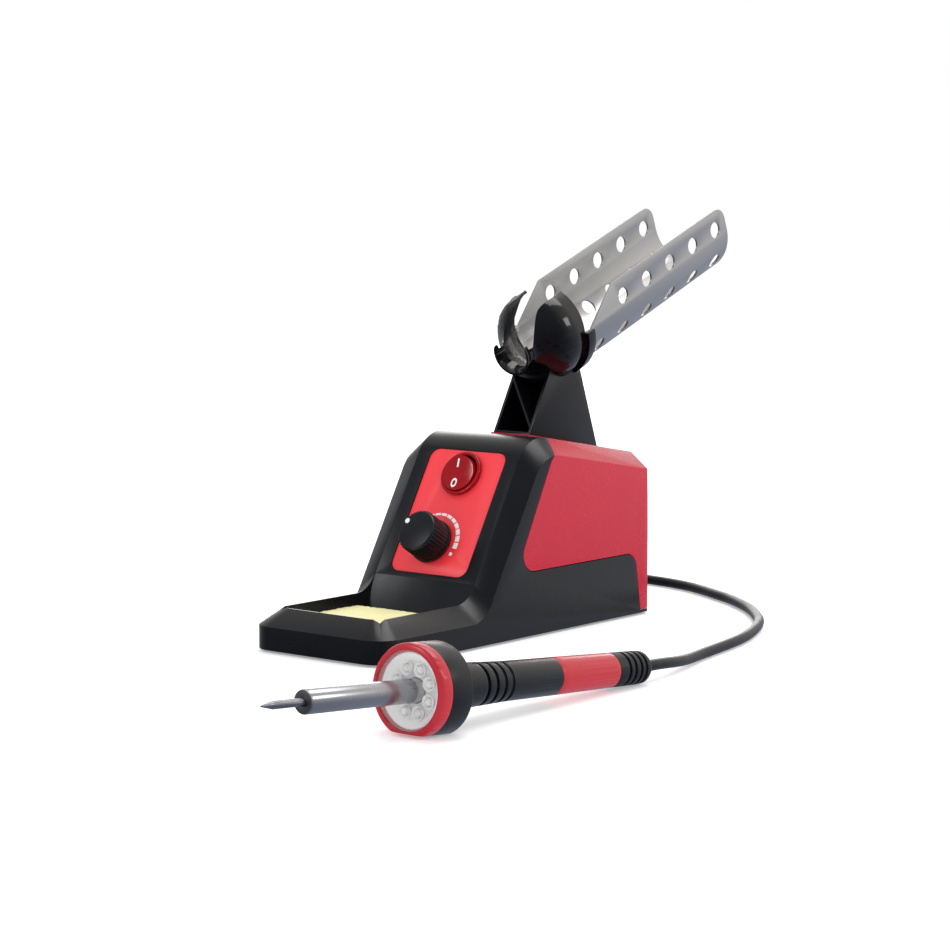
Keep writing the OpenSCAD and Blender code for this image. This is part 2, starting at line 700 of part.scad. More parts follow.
module gland(open_end) {
    difference() {
        union() {
            rod(0, 2, 7, 6.6);
            rod(-wall - 2, 0.5, 4.95, 4.95);
            rod(2, boot_l, 5, 3.9);
            for (y = [4:2.6:11]) rod(y, y + 1.2, 5.3, 5.1);
        }
        rod(-20, open_end ? 40 : boot_l - 4, 2.7, 2.7);
    }
}

module mains_gland() color("#121214") on_back(gland_x[1]) gland(true);

module cord_gland() color("#121214") on_back(gland_x[0]) gland(false);

// Tube along a route, with a ring of n points at each route point
module tube(route, r, n) {
    m = len(route);
    function along(i) = let(d = route[min(i + 1, m - 1)] - route[max(i - 1, 0)]) d / norm(d);
    function across(i) = let(c = cross(along(i), [0, 0, 1])) c / norm(c);
    points = [for (i = [0:m - 1]) let(u = across(i), v = cross(u, along(i)))
        for (k = [0:n - 1]) route[i] + r * (cos(360 * k / n) * u + sin(360 * k / n) * v)];
    skin = [for (i = [0:m - 2]) for (k = [0:n - 1]) let(j = (k + 1) % n)
        each [[i * n + k, (i + 1) * n + k, (i + 1) * n + j], [i * n + k, (i + 1) * n + j, i * n + j]]];
    ends = [[for (k = [0:n - 1]) k], [for (k = [n - 1:-1:0]) (m - 1) * n + k]];
    polyhedron(points = points, faces = concat(skin, ends), convexity = 8);
}

module iron_cord() color("#16171a") tube(cord_route, cord_r, 10);

module cord_tail() color("#16171a") tube(tail_route, cord_r, 10);

module cord_coil() color("#16171a") translate([coil_at[0], coil_at[1], 0])
    rotate_extrude(convexity = 4)
        polygon(plan_points([coil_r - cord_d, 0], [coil_r + cord_d, coil_layers * cord_d], 2, 2, 3));

module coil_tie() color("#e9e9e6") translate([coil_at[0], coil_at[1], 0]) rotate([0, 0, 150]) difference() {
    translate([coil_r - cord_d - 1, -2, 0]) cube([2 * cord_d + 2, 4, coil_layers * cord_d + 1]);
    translate([coil_r - cord_d + 0.05, -5, 0.8]) cube([2 * cord_d - 0.1, 10, coil_layers * cord_d - 0.75]);
}

// ---------- iron

module above_flat() {
    difference() {
        children();
        translate([-30, -10, -flat_h - 20]) cube([60, 40, 20]);
    }
}

module tip() color("#8d9095") on_iron() {
    rod(-barrel_l - tip_l, 6.2 - barrel_l - tip_l, 0.35, tip_d / 2);
    rod(6.2 - barrel_l - tip_l, -30, tip_d / 2, tip_d / 2);
}

module barrel() color("#c3c6ca") on_iron() difference() {
    rod(-barrel_l, 34, barrel_d / 2, barrel_d / 2);
    rod(-barrel_l - 1, 35, barrel_d / 2 - 0.8, barrel_d / 2 - 0.8);
}

module barrel_collar() color("#3b3c3f") on_iron() difference() {
    union() {
        rod(-barrel_l - 0.8, -barrel_l, barrel_d / 2 - 0.3, barrel_d / 2);
        rod(-barrel_l, 3 - barrel_l, barrel_d / 2 - 0.9, barrel_d / 2 - 0.9);
    }
    rod(-barrel_l - 2, 4 - barrel_l, tip_d / 2 + 0.1, tip_d / 2 + 0.1);
}

module heater() color("#e8e4da") on_iron() difference() {
    rod(5 - barrel_l, 30, barrel_d / 2 - 1.2, barrel_d / 2 - 1.2);
    rod(4 - barrel_l, -28, tip_d / 2 + 0.1, tip_d / 2 + 0.1);
}

module lens() color("#e6eff2") on_iron() turned([
    [barrel_d / 2 + 0.2, 0], [lens_r, 0], [lens_r, 1.6], [barrel_d / 2 + 0.2, 1.6]]);

module reflector() color("#d9dcdf") on_iron() turned([
    [barrel_d / 2 + 0.4, 4.7], [11, 4.7], [14.6, 1.7], [15.3, 1.7], [15.3, 5.4], [barrel_d / 2 + 0.4, 5.4]]);

module leds() color("#f4f6f2") on_iron() {
    for (i = [0:7]) rotate([0, i * 45 + 22.5, 0]) translate([9.2, 0, 0]) {
        rod(3.2, 4.7, 1.5, 1.5);
        translate([0, 3.2, 0]) sphere(r = 1.5);
    }
}

module led_board() color("#3a6c45") on_iron() difference() {
    rod(5.7, 7.3, 16.6, 16.6);
    rod(5, 8, barrel_d / 2 + 0.6, barrel_d / 2 + 0.6);
}

module bezel_ring() color("#e5202a") on_iron() above_flat() turned([
    [lens_r + 0.1, -0.8], [17.4, -0.8], [18.5, -0.2], [head_r, 0.8], [head_r, 5.6], [15.4, 5.6],
    [15.4, 1.7], [lens_r + 0.1, 1.7]]);

module head_shell() color("#121316") on_iron() above_flat() turned([
    [head_r - 2.2, 5.6], [head_r, 5.6], [head_r, head_back], [16.8, 20.2], [13.6, 22.6], [10.6, 24.6],
    [9.3, 26], [5.6, 26], [5.6, 22.4], [11, 19], [15, 16.2], [16.8, 14]]);

module grip_sleeve() color("#1a1b1e") on_iron() difference() {
    turned([[5.6, 26], [9.3, 26], [grip_r + 0.1, 30], [grip_r, 34], [8.3, 58], [8, grip_end],
            [5.6, grip_end]]);
    for (y = [39.5, 45.1, 50.5, 55.3]) difference() {
        rod(y - 0.9, y + 0.9, 12, 12);
        rod(y - 2, y + 2, 7.7, 7.7);
    }
}

module handle_core() color("#d8222c") on_iron() turned([
    [5, grip_end], [8, grip_end], [8, grip_end + 4], [handle_r + 0.1, handle_end], [5, handle_end]]);

module rear_bush() color("#17181b") on_iron() difference() {
    turned([[cord_r + 0.1, handle_end], [bush_r + 0.2, handle_end], [bush_r + 0.2, handle_end + 6],
            [bush_r, iron_rest], [bush_r - 0.2, iron_end - 3], [bush_r - 1.4, iron_end - 0.9],
            [bush_r - 3, iron_end], [cord_r + 0.1, iron_end]]);
    for (y = [134.2, 138.2, 142.2, 145.8]) difference() {
        rod(y, y + 1.6, 12, 12);
        rod(y - 2, y + 3, 6.3, 6.3);
    }
}

front_housing();
rear_cover();
bottom_plate();
rubber_feet();
housing_screws();
front_panel();
scale_marks();
switch_bezel();
switch_body();
switch_terminals();
rocker_button();
rocker_pin();
knob();
knob_dot();
control_shaft();
control_body();
control_nut();
control_board();
triac();
heat_sink();
capacitor();
fuse();
terminal_block();
sponge();
column();
column_screws();
cradle();
cradle_screw();
channel();
channel_rivets();
mains_gland();
cord_gland();
iron_cord();
cord_coil();
cord_tail();
coil_tie();
tip();
barrel();
barrel_collar();
heater();
lens();
reflector();
leds();
led_board();
bezel_ring();
head_shell();
grip_sleeve();
handle_core();
rear_bush();
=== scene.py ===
"""Finished look of a bench soldering station: pieces, materials, camera and lights."""

import json
import logging
import math
from dataclasses import dataclass, field
from enum import Enum
from typing import List, Optional, Sequence, Tuple

import bpy
from mathutils import Matrix, Vector

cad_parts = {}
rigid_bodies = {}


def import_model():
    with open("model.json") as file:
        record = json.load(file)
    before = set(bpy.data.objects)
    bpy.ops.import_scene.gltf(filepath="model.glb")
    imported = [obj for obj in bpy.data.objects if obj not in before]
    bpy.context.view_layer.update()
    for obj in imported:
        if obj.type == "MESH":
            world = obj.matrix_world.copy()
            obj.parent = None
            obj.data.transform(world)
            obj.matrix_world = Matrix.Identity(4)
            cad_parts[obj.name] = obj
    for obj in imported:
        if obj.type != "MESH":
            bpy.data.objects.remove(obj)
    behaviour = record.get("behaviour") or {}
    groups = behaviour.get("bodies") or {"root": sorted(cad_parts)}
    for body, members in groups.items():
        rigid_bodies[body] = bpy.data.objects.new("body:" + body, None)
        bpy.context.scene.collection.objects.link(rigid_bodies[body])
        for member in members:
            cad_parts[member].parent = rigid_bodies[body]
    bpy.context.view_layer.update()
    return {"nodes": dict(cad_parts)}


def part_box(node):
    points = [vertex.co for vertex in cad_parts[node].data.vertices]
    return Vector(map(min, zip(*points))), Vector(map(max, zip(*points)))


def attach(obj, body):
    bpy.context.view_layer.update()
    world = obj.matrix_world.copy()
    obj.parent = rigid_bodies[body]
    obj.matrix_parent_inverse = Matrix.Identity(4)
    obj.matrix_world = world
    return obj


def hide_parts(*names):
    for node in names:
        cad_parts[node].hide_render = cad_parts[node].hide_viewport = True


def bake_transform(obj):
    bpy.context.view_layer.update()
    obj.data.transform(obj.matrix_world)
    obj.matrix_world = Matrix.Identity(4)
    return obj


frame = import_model()

logging.basicConfig(level=logging.INFO, format="%(message)s")
log = logging.getLogger("station")

MM = 0.001
MERGE_M = 1e-6  # vertices of a new piece closer than this are one
NODE_MERGE_M = 2e-6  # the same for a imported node's loose triangles
FLAT_DEGREES = 0.6  # neighbouring faces flatter than this become one
WHITE = (1, 1, 1, 1)
Point = Tuple[float, float, float]
Colour = Tuple[float, float, float, float]


# ---------- small helpers


def linear(hex_colour: str) -> Colour:
    """Turns an sRGB hex colour into linear RGBA.

    Args:
        hex_colour: six hex digits, with or without a leading hash.

    Returns:
        Linear red, green, blue and an alpha of 1.
    """
    digits = hex_colour.lstrip("#")
    values = [int(digits[i : i + 2], 16) / 255 for i in (0, 2, 4)]
    red, green, blue = (
        v / 12.92 if v <= 0.04045 else ((v + 0.055) / 1.055) ** 2.4 for v in values
    )
    return (red, green, blue, 1.0)


def select_only(piece: bpy.types.Object) -> None:
    """Leaves one object selected and active.

    Args:
        piece: the object that the next operators act on.
    """
    for other in bpy.context.scene.objects:
        other.select_set(False)
    piece.select_set(True)
    bpy.context.view_layer.objects.active = piece


def settle(piece: bpy.types.Object) -> None:
    """Puts an object's place, turn and size into its mesh.

    Args:
        piece: the object to settle.
    """
    select_only(piece)
    bpy.ops.object.transform_apply(location=True, rotation=True, scale=True)


def apply_all(piece: bpy.types.Object) -> None:
    """Applies every modifier of a piece in order.

    Args:
        piece: the object whose modifiers are applied.
    """
    select_only(piece)
    for modifier in list(piece.modifiers):
        bpy.ops.object.modifier_apply(modifier=modifier.name)


def smooth(piece: bpy.types.Object, angle: float = 35.0) -> None:
    """Shades a piece smooth where its faces meet at less than an angle.

    Args:
        piece: the object to shade.
        angle: the limit in degrees.
    """
    select_only(piece)
    bpy.ops.object.shade_smooth_by_angle(angle=math.radians(angle))


def bevel(piece: bpy.types.Object, width: float, segments: int = 3, angle: float = 35.0) -> None:
    """Rounds a piece's sharp edges.

    Args:
        piece: the object to round.
        width: size of the rounding in millimetres.
        segments: steps across the rounding.
        angle: edges sharper than this many degrees are rounded.
    """
    rounding = piece.modifiers.new("rounding", "BEVEL")
    rounding.width = width * MM
    rounding.segments = segments
    rounding.limit_method = "ANGLE"
    rounding.angle_limit = math.radians(angle)
    rounding.miter_outer = "MITER_ARC"
    apply_all(piece)


def edit_all(piece: bpy.types.Object) -> None:
    """Opens a piece in edit mode with everything selected.

    Args:
        piece: the object to edit.
    """
    select_only(piece)
    bpy.ops.object.mode_set(mode="EDIT")
    bpy.ops.mesh.select_all(action="SELECT")


def object_mode() -> None:
    """Leaves edit mode."""
    bpy.ops.object.mode_set(mode="OBJECT")


def outward(piece: bpy.types.Object) -> None:
    """Points a closed piece's faces outwards.

    Args:
        piece: the object to mend.
    """
    edit_all(piece)
    bpy.ops.mesh.remove_doubles(threshold=MERGE_M)
    bpy.ops.mesh.normals_make_consistent(inside=False)
    object_mode()


def named(name: str) -> bpy.types.Object:
    """Names the active object.

    Args:
        name: the new name.

    Returns:
        The active object.
    """
    piece = bpy.context.active_object
    piece.name = name
    piece.data.name = name
    return piece


def joined(pieces: Sequence[bpy.types.Object], name: str) -> bpy.types.Object:
    """Joins several meshes into one object.

    Args:
        pieces: the objects to join.
        name: the name of the result.

    Returns:
        The joined object.
    """
    select_only(pieces[0])
    for piece in pieces:
        piece.select_set(True)
    bpy.ops.object.join()
    return named(name)


def twin(piece: bpy.types.Object, place: Matrix) -> bpy.types.Object:
    """Copies a piece with its own mesh and moves the copy.

    Args:
        piece: the object to copy.
        place: where the copy goes, as a transform of the mesh.

    Returns:
        The copy.
    """
    copy = piece.copy()
    copy.data = piece.data.copy()
    copy.data.transform(place)
    bpy.context.collection.objects.link(copy)
    return copy


def refined(node: str, width: float, segments: int = 3, angle: float = 35.0) -> bpy.types.Object:
    """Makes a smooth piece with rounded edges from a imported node's shape.

    Args:
        node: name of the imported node.
        width: size of the edge rounding in millimetres; 0 leaves edges sharp.
        segments: steps across the rounding.
        angle: edges sharper than this many degrees are rounded.

    Returns:
        The new piece, still without a body.
    """
    source = frame["nodes"][node]
    piece = bpy.data.objects.new(node + "_finished", source.data.copy())
    bpy.context.scene.collection.objects.link(piece)
    piece.data.materials.clear()
    edit_all(piece)
    bpy.ops.mesh.remove_doubles(threshold=NODE_MERGE_M)
    bpy.ops.mesh.dissolve_limited(angle_limit=math.radians(FLAT_DEGREES))
    object_mode()
    if width > 0:
        bevel(piece, width, segments, angle)
    smooth(piece, angle)
    return piece


# ---------- materials


class Surface(Enum):
    """How a surface was made, which sets its pattern."""

    MOULDED = "fine spark-eroded grain from the mould"
    POLISHED = "smooth skin from a polished mould"
    BRUSHED = "long rolling marks along Y"
    TURNED = "fine rings round the iron's axis"
    SPONGE = "open cells"
    RUBBER = "soft satin skin"
    CLEAR = "transparent"


def add(
    tree: bpy.types.NodeTree, kind: str, settings: Optional[dict] = None, inputs: Optional[dict] = None
) -> bpy.types.Node:
    """Adds one shader node with its settings, values and links.

    Args:
        tree: the material's node tree.
        kind: the node's type, without the ShaderNode prefix.
        settings: attributes to set on the node.
        inputs: input name or number to a value, or to the socket that feeds it.

    Returns:
        The new node.
    """
    node = tree.nodes.new("ShaderNode" + kind)
    for key, value in (settings or {}).items():
        setattr(node, key, value)
    for key, value in (inputs or {}).items():
        if isinstance(value, bpy.types.NodeSocket):
            tree.links.new(value, node.inputs[key])
        else:
            node.inputs[key].default_value = value
    return node


@dataclass(frozen=True)
class Finish:
    """One real material: its colour, gloss and surface pattern.

    Sizes are in millimetres. Mottle is the slow variation of colour and gloss, grain the fine relief.
    """

    name: str
    colour: str
    surface: Surface = Surface.MOULDED
    rough: float = 0.4
    rough_spread: float = 0.06
    metallic: float = 0.0
    ior: float = 1.5
    mottle_mm: float = 14.0
    mottle: float = 0.08
    grain_mm: float = 0.5
    relief_mm: float = 0.02
    coat: float = 0.0
    transmission: float = 0.0
    subsurface: float = 0.0
    alpha: float = 1.0

    def _pattern(
        self, tree: bpy.types.NodeTree, size: float, place: bpy.types.NodeSocket
    ) -> bpy.types.NodeSocket:
        """Adds a noise of a real size.

        Args:
            tree: the material's node tree.
            size: size of its features in millimetres.
            place: the coordinates that it reads.

        Returns:
            The noise's value socket.
        """
        noise = add(tree, "TexNoise", {}, {"Vector": place, "Scale": 1 / (size * MM), "Detail": 3.0})
        return noise.outputs["Fac"]

    def material(self) -> bpy.types.Material:
        """Builds the material, or finds it if it is already there.

        Returns:
            The material.
        """
        found = bpy.data.materials.get(self.name)
        if found:
            return found
        made = bpy.data.materials.new(self.name)
        made.use_nodes = True
        tree = made.node_tree
        shader = tree.nodes["Principled BSDF"]
        base = linear(self.colour)
        shader.inputs["Base Color"].default_value = base
        shader.inputs["Roughness"].default_value = self.rough
        shader.inputs["Metallic"].default_value = self.metallic
        shader.inputs["IOR"].default_value = self.ior
        shader.inputs["Coat Weight"].default_value = self.coat
        shader.inputs["Coat Roughness"].default_value = 0.08
        shader.inputs["Transmission Weight"].default_value = self.transmission
        shader.inputs["Alpha"].default_value = self.alpha
        if self.subsurface:
            shader.inputs["Subsurface Weight"].default_value = self.subsurface
            shader.inputs["Subsurface Radius"].default_value = (0.002, 0.0012, 0.0008)
        place = add(tree, "TexCoord").outputs["Object"]
        stretch = {
            Surface.BRUSHED: (1.0, 0.02, 1.0),
            Surface.TURNED: (0.06, 1.0, 0.06),
        }.get(self.surface)
        fine = place
        if stretch:
            fine = add(tree, "Mapping", {}, {"Vector": place, "Scale": stretch}).outputs["Vector"]
        slow = self._pattern(tree, self.mottle_mm, place)
        grain = self._pattern(tree, self.grain_mm, fine)
        if self.surface is Surface.SPONGE:
            cells = add(tree, "TexVoronoi", {}, {"Vector": place, "Scale": 1 / (self.grain_mm * MM)})
            grain = cells.outputs["Distance"]
        dark = tuple(c * (1 - 2 * self.mottle) for c in base[:3]) + (1.0,)
        shade = add(tree, "Mix", {"data_type": "RGBA"}, {"Factor": slow, 6: dark, 7: base})
        tree.links.new(shade.outputs[2], shader.inputs["Base Color"])
        mix = add(tree, "Math", {"operation": "ADD"}, {0: slow, 1: grain})
        gloss = add(
            tree,
            "MapRange",
            {},
            {
                "Value": mix.outputs[0],
                "From Min": 0.6,
                "From Max": 1.4,
                "To Min": max(0.02, self.rough - self.rough_spread),
                "To Max": min(1.0, self.rough + self.rough_spread),
            },
        )
        tree.links.new(gloss.outputs["Result"], shader.inputs["Roughness"])
        if self.relief_mm:
            bump = add(
                tree, "Bump", {}, {"Height": grain, "Strength": 0.6, "Distance": self.relief_mm * MM}
            )
            tree.links.new(bump.outputs["Normal"], shader.inputs["Normal"])
        return made

    def on(self, *pieces: bpy.types.Object) -> None:
        """Gives pieces this finish in their only slot.

        Args:
            pieces: the objects to dress.
        """
        for piece in pieces:
            piece.data.materials.clear()
            piece.data.materials.append(self.material())


# Black ABS from a spark-eroded mould: satin, with a broad soft highlight.
BLACK_ABS = Finish("black_moulded_abs", "#0b0c10", rough=0.3, ior=1.46, mottle=0.06, grain_mm=0.45,
                   relief_mm=0.006)
# Red ABS from a polished mould: glossier than the black, and deep in colour.
RED_ABS = Finish("red_satin_cover_abs", "#bd1f35", Surface.POLISHED, rough=0.26, rough_spread=0.03,
                 mottle=0.03, grain_mm=0.9, relief_mm=0.002, subsurface=0.04)
# Polycarbonate label film: brighter and lighter red than the cover.
PANEL_FILM = Finish("red_panel_film", "#fa3c46", rough=0.36, rough_spread=0.04, mottle=0.04, mottle_mm=30,
                    grain_mm=0.3, relief_mm=0.003)
# White screen print: thick, matt ink.
WHITE_INK = Finish("white_screen_ink", "#f3f3f1", rough=0.55, mottle=0.02, grain_mm=0.4, relief_mm=0.006)
# Moulded nylon of the switch body: close to polished.
BLACK_NYLON = Finish("black_glossy_nylon", "#0f0f12", Surface.POLISHED, rough=0.2, rough_spread=0.05,
                     mottle=0.04, grain_mm=1.2, relief_mm=0.004)
# Red polycarbonate of the rocker and its bezel: deep red, with sharp highlights.
RED_POLYCARBONATE = Finish("dark_red_polycarbonate", "#a30812", Surface.POLISHED, rough=0.12,
                           rough_spread=0.03, ior=1.5, mottle=0.1, mottle_mm=5, grain_mm=1.5,
                           relief_mm=0.002, subsurface=0.15)
# Moulded phenolic: hard, nearly a mirror, with a faint orange peel.
PHENOLIC = Finish("black_polished_phenolic", "#08080a", Surface.POLISHED, rough=0.12, rough_spread=0.03,
                  ior=1.5, mottle=0.03, grain_mm=3.0, relief_mm=0.003)
# Thermoplastic knob with a satin skin.
KNOB_PLASTIC = Finish("black_satin_knob_abs", "#101115", rough=0.33, ior=1.42, mottle=0.05, grain_mm=0.5,
                      relief_mm=0.006)
# Stainless sheet with the long marks of rolling.
STAINLESS = Finish("rolled_stainless_sheet", "#bdbcbb", Surface.BRUSHED, rough=0.4, rough_spread=0.03,
                   metallic=1.0, mottle=0.02, mottle_mm=30, grain_mm=0.5, relief_mm=0.001)
# Ground and polished stainless tube: fine rings that spread its highlight across it.
TUBE_STEEL = Finish("ground_stainless_tube", "#a3a4a8", Surface.TURNED, rough=0.24, rough_spread=0.05,
                    metallic=1.0, mottle=0.03, grain_mm=0.35, relief_mm=0.002)
# Iron-plated copper bit: darker than the barrel, and blotchy from heat.
PLATED_TIP = Finish("plated_copper_tip", "#8f9196", Surface.TURNED, rough=0.3, rough_spread=0.12,
                    metallic=1.0, mottle=0.22, mottle_mm=5, grain_mm=0.4, relief_mm=0.008)
# Steel collar at the barrel's mouth, slightly heat-stained.
STAINED_STEEL = Finish("heat_stained_steel", "#a5a3a1", rough=0.36, rough_spread=0.08, metallic=1.0,
                       mottle=0.12, mottle_mm=3, grain_mm=0.4, relief_mm=0.004)
# Zinc-plated screws and nuts: pale, cool metal of uneven gloss.
ZINC = Finish("zinc_plated_steel", "#b8bcc2", rough=0.3, rough_spread=0.1, metallic=1.0, mottle=0.1,
              mottle_mm=3, grain_mm=0.4, relief_mm=0.006)
# Cellulose sponge, dry: pale yellow and matt, open cells a millimetre or so across.
CELLULOSE = Finish("dry_cellulose_sponge", "#f9f3b6", Surface.SPONGE, rough=0.92, rough_spread=0.05,
                   mottle=0.05, mottle_mm=9, grain_mm=1.5, relief_mm=0.5, subsurface=0.1)
# Plasticised PVC jacket: satin black.
PVC = Finish("black_pvc_jacket", "#0d0e11", Surface.RUBBER, rough=0.4, rough_spread=0.05, ior=1.42,
             mottle=0.07, mottle_mm=6, grain_mm=0.7, relief_mm=0.008)
# Moulded rubber: duller than PVC.
RUBBER = Finish("moulded_rubber", "#101114", Surface.RUBBER, rough=0.5, rough_spread=0.08, mottle=0.08,
                mottle_mm=5, grain_mm=0.5, relief_mm=0.02)
# Black ABS of the grip: finer grained than the base.
GRIP = Finish("black_satin_grip", "#101116", rough=0.3, rough_spread=0.05, ior=1.42, mottle=0.05,
              grain_mm=0.5, relief_mm=0.004)
# Red ABS of the handle and the lamp bezel: satin, a little softer than the cover.
HANDLE_RED = Finish("red_satin_abs", "#bb2230", Surface.POLISHED, rough=0.3, rough_spread=0.04,
                    mottle=0.04, grain_mm=0.8, relief_mm=0.002, subsurface=0.04)
# Clear polycarbonate window: almost unseen but for its highlights.
CLEAR_PC = Finish("clear_polycarbonate", "#fbfcfc", Surface.CLEAR, rough=0.03, rough_spread=0.01, ior=1.45,
                  mottle=0.005, grain_mm=4, relief_mm=0.0, alpha=0.12)
# White reflector plastic behind the lamps: bright, with a soft gloss.
WHITE_REFLECTOR = Finish("white_reflector_pc", "#f4f5f4", Surface.POLISHED, rough=0.25, mottle=0.03,
                         grain_mm=1.0, relief_mm=0.004)
# Epoxy lamp domes: pale and glossy, letting a little light through.
LAMP_EPOXY = Finish("clear_lamp_epoxy", "#fdfdf8", Surface.CLEAR, rough=0.06, rough_spread=0.02, ior=1.53,
                    mottle=0.02, grain_mm=2, relief_mm=0.0, transmission=0.2)
# Glass-fibre board with green solder resist: satin, slightly uneven green.
BOARD = Finish("green_solder_resist", "#1f6a37", rough=0.35, mottle=0.15, mottle_mm=3, grain_mm=0.8,
               relief_mm=0.02)
# Extruded aluminium fins: pale metal, drawn along their length.
ALUMINIUM = Finish("extruded_aluminium", "#c4c7ca", Surface.BRUSHED, rough=0.38, metallic=1.0, mottle=0.06,
                   grain_mm=0.5, relief_mm=0.006)
# Shrink sleeve of the capacitor: smooth and glossy.
SLEEVE = Finish("blue_shrink_sleeve", "#27406f", Surface.POLISHED, rough=0.25, mottle=0.05, grain_mm=1,
                relief_mm=0.004)
# Moulded epoxy of the power device: dull dark grey.
EPOXY = Finish("black_moulded_epoxy", "#1a1a1c", rough=0.5, mottle=0.06, grain_mm=0.4, relief_mm=0.015)
# Fuse: a glass tube with a cap at each end, bright and partly clear.
FUSE_GLASS = Finish("fuse_glass_and_caps", "#dfe5e6", Surface.POLISHED, rough=0.12, mottle=0.1, mottle_mm=6,
                    grain_mm=2, relief_mm=0.0, transmission=0.3)
# Moulded nylon of the terminal block: satin green.
BLOCK = Finish("green_moulded_nylon", "#2f8a4c", rough=0.4, mottle=0.05, grain_mm=0.5, relief_mm=0.01)
# Rolled brass switch tags: warm yellow metal.
BRASS = Finish("rolled_brass", "#c9a253", Surface.BRUSHED, rough=0.3, metallic=1.0, mottle=0.08,
               grain_mm=0.5, relief_mm=0.005)
# Fired alumina heater: chalky off-white.
ALUMINA = Finish("fired_alumina", "#e7e2d8", rough=0.6, mottle=0.05, grain_mm=0.5, relief_mm=0.01)
# Nylon tie: off-white and satin.
WHITE_NYLON = Finish("white_nylon_tie", "#e8e8e4", rough=0.4, mottle=0.03, grain_mm=0.8, relief_mm=0.01)


@dataclass
class Assembly:
    """A sub-assembly that puts its pieces on a body.

    Args:
        body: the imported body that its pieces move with.
    """

    body: str = "station"
    made: List[str] = field(default_factory=list)

    def place(self, piece: bpy.types.Object, finish: Finish, slot: str, *nodes: str, body: str = "") -> None:
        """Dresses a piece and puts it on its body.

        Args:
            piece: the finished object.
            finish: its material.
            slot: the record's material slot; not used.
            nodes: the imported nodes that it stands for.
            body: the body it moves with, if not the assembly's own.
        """
        finish.on(piece)
        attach(piece, body or self.body)
        if nodes:
            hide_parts(*nodes)
        self.made.append(piece.name)
        log.info("%s: %d faces, %s", piece.name, len(getattr(piece.data, "polygons", [])), finish.name)

    def refine(self, node: str, width: float, finish: Finish, slot: str, segments: int = 3,
               angle: float = 35.0, body: str = "") -> None:
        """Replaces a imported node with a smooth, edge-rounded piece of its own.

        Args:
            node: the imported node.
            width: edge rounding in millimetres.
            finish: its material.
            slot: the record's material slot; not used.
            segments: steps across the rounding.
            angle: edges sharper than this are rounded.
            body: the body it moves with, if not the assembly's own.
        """
        self.place(refined(node, width, segments, angle), finish, slot, node, body=body)

    def dress(self, finish: Finish, *nodes: str) -> None:
        """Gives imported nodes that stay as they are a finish.

        Args:
            finish: their material.
            nodes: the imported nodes.
        """
        for node in nodes:
            finish.on(frame["nodes"][node])
            self.made.append(node)
            log.info("%s: packed shape, %s", node, finish.name)


# ---------- cord


